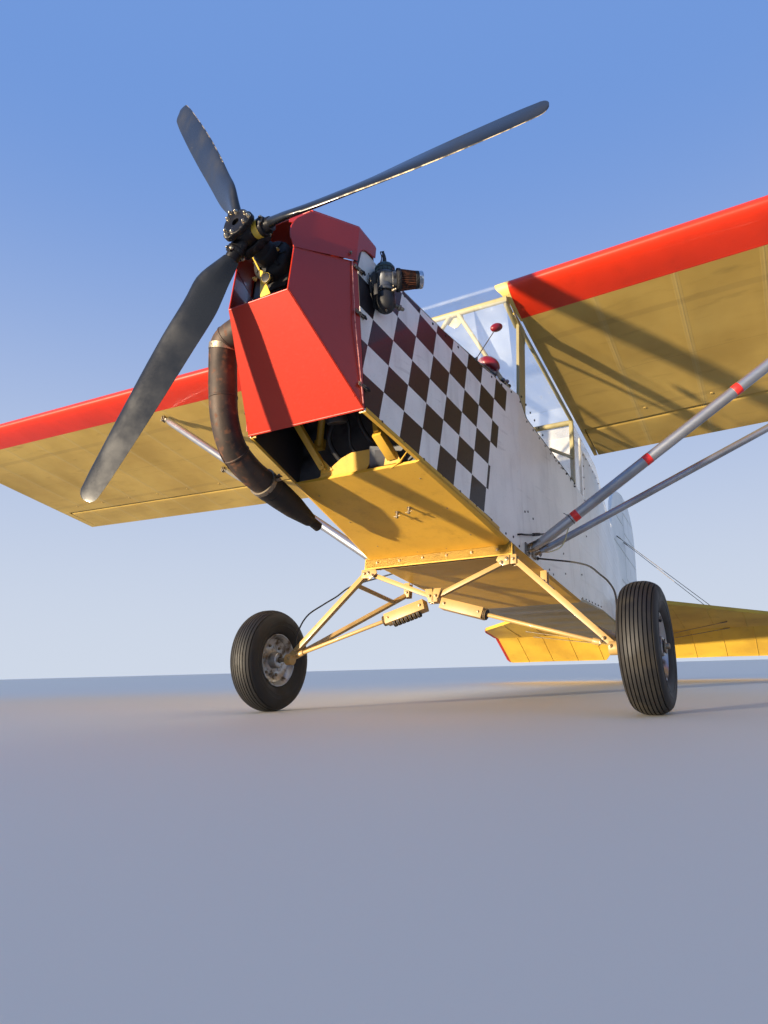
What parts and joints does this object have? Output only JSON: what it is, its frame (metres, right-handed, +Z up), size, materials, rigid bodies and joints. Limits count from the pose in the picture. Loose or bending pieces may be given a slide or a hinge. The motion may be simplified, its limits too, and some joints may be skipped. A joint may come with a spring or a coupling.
{
  "type": "single-seat high-wing light aircraft",
  "caption": "High-wing, strut-braced tailwheel light aircraft with open cabin sides, clear roof, propeller, hinged control surfaces and rolling wheels, parked on its gear.",
  "frame": {"origin": "on the ground, under the middle of the bounding box", "axes": "+X to the aircraft's left along the span, +Y aft, +Z up; the fuselage sits nose-up on its tailwheel"},
  "size_m": [7.94, 5.5568, 2.0026],
  "materials": {
    "orange_paint": "glossy orange-red enamel on thin sheet",
    "cream_paint": "satin cream-yellow enamel on tube and sheet",
    "white_panel": "semi-gloss white with a black chequer band",
    "wing_fabric": "doped cream fabric over ribs",
    "white_fabric": "doped white fabric over stringers",
    "black_steel": "black painted steel",
    "blade_composite": "satin black composite",
    "black_plastic": "matt black",
    "engine_metal": "oily cast alloy",
    "exhaust_steel": "heat-browned steel",
    "strut_alloy": "silver-grey tube",
    "wheel_alloy": "cast alloy",
    "tyre_rubber": "ribbed black rubber",
    "clear_plastic": "clear polycarbonate sheet",
    "seat_vinyl": "black vinyl"
  },
  "bodies": {
    "airframe": {"lower_cowl": "orange_paint", "upper_cowl": "orange_paint", "engine_block": "engine_metal", "reduction_drive": "engine_metal", "engine_mount": "cream_paint", "exhaust_pipe": "exhaust_steel", "silencer_cone": "exhaust_steel", "carburettor": "engine_metal", "air_filter": "black_plastic", "side_panel_left": "white_panel", "side_panel_right": "white_panel", "firewall": "wheel_alloy", "belly_front": "cream_paint", "belly_rear": "cream_paint", "fore_deck": "white_panel", "instrument_panel": "black_plastic", "leading_edge_left": "orange_paint", "leading_edge_right": "orange_paint", "wing_left": "wing_fabric", "wing_right": "wing_fabric", "front_strut_left": "strut_alloy", "front_strut_right": "strut_alloy", "rear_strut_left": "strut_alloy", "rear_strut_right": "strut_alloy", "windscreen_frame": "cream_paint", "rear_cabin_frame": "cream_paint", "windscreen": "clear_plastic", "roof_panel": "clear_plastic", "quarter_window_left": "clear_plastic", "quarter_window_right": "clear_plastic", "seat": "seat_vinyl", "control_stick": "black_steel", "rear_fuselage": "white_fabric", "centre_fairing": "white_fabric", "fin": "white_fabric", "stabiliser_left": "wing_fabric", "stabiliser_right": "wing_fabric", "gear_leg_left": "cream_paint", "gear_leg_right": "cream_paint", "shock_unit_left": "cream_paint", "shock_unit_right": "cream_paint", "cabane": "cream_paint", "gear_crossmember": "cream_paint", "tail_spring": "black_steel"},
    "propeller": {"propeller_hub": "black_steel", "propeller_blade_1": "blade_composite", "propeller_blade_2": "blade_composite", "propeller_blade_3": "blade_composite"},
    "wheel_left": {"tyre_left": "tyre_rubber", "rim_left": "wheel_alloy"},
    "wheel_right": {"tyre_right": "tyre_rubber", "rim_right": "wheel_alloy"},
    "tail_swivel": {"tailwheel_fork": "black_steel"},
    "tail_roller": {"tailwheel": "tyre_rubber"},
    "rudder": {"rudder": "white_fabric"},
    "elevator": {"elevator": "wing_fabric"},
    "aileron_left": {"aileron_left": "wing_fabric"},
    "aileron_right": {"aileron_right": "wing_fabric"}
  },
  "joints": [
    {"name": "propeller_spin", "type": "hinge", "parent": "airframe", "child": "propeller", "pos_m": [0, -2.63882, 1.298], "axis": [0, -0.9818, 0.1901], "continuous": true},
    {"name": "wheel_left_spin", "type": "hinge", "parent": "airframe", "child": "wheel_left", "pos_m": [0.735, -1.60641, 0.20172], "axis": [1, 0, 0], "continuous": true},
    {"name": "wheel_right_spin", "type": "hinge", "parent": "airframe", "child": "wheel_right", "pos_m": [-0.735, -1.60641, 0.20172], "axis": [1, 0, 0], "continuous": true},
    {"name": "tailwheel_steer", "type": "hinge", "parent": "airframe", "child": "tail_swivel", "pos_m": [0, 2.10919, 0.16], "axis": [0, 0, 1], "range_deg": [-30, 30]},
    {"name": "tailwheel_spin", "type": "hinge", "parent": "tail_swivel", "child": "tail_roller", "pos_m": [0, 2.15519, 0.06914], "axis": [1, 0, 0], "continuous": true},
    {"name": "rudder_hinge", "type": "hinge", "parent": "airframe", "child": "rudder", "pos_m": [0, 2.25313, 0.8599], "axis": [0, 0.1901, 0.9818], "range_deg": [-25, 25]},
    {"name": "elevator_hinge", "type": "hinge", "parent": "airframe", "child": "elevator", "pos_m": [0, 2.0255, 0.39474], "axis": [1, 0, 0], "range_deg": [0, 48]},
    {"name": "aileron_left_hinge", "type": "hinge", "parent": "airframe", "child": "aileron_left", "pos_m": [1, -0.28517, 1.4069], "axis": [0.9995, 0.0063, 0.0326], "range_deg": [-20, 20]},
    {"name": "aileron_right_hinge", "type": "hinge", "parent": "airframe", "child": "aileron_right", "pos_m": [-1, -0.28517, 1.4069], "axis": [0.9995, -0.0063, -0.0326], "range_deg": [-20, 20]}
  ],
  "couplings": [
    {"joint": "aileron_right_hinge", "follows": "aileron_left_hinge", "ratio": -1}
  ]
}
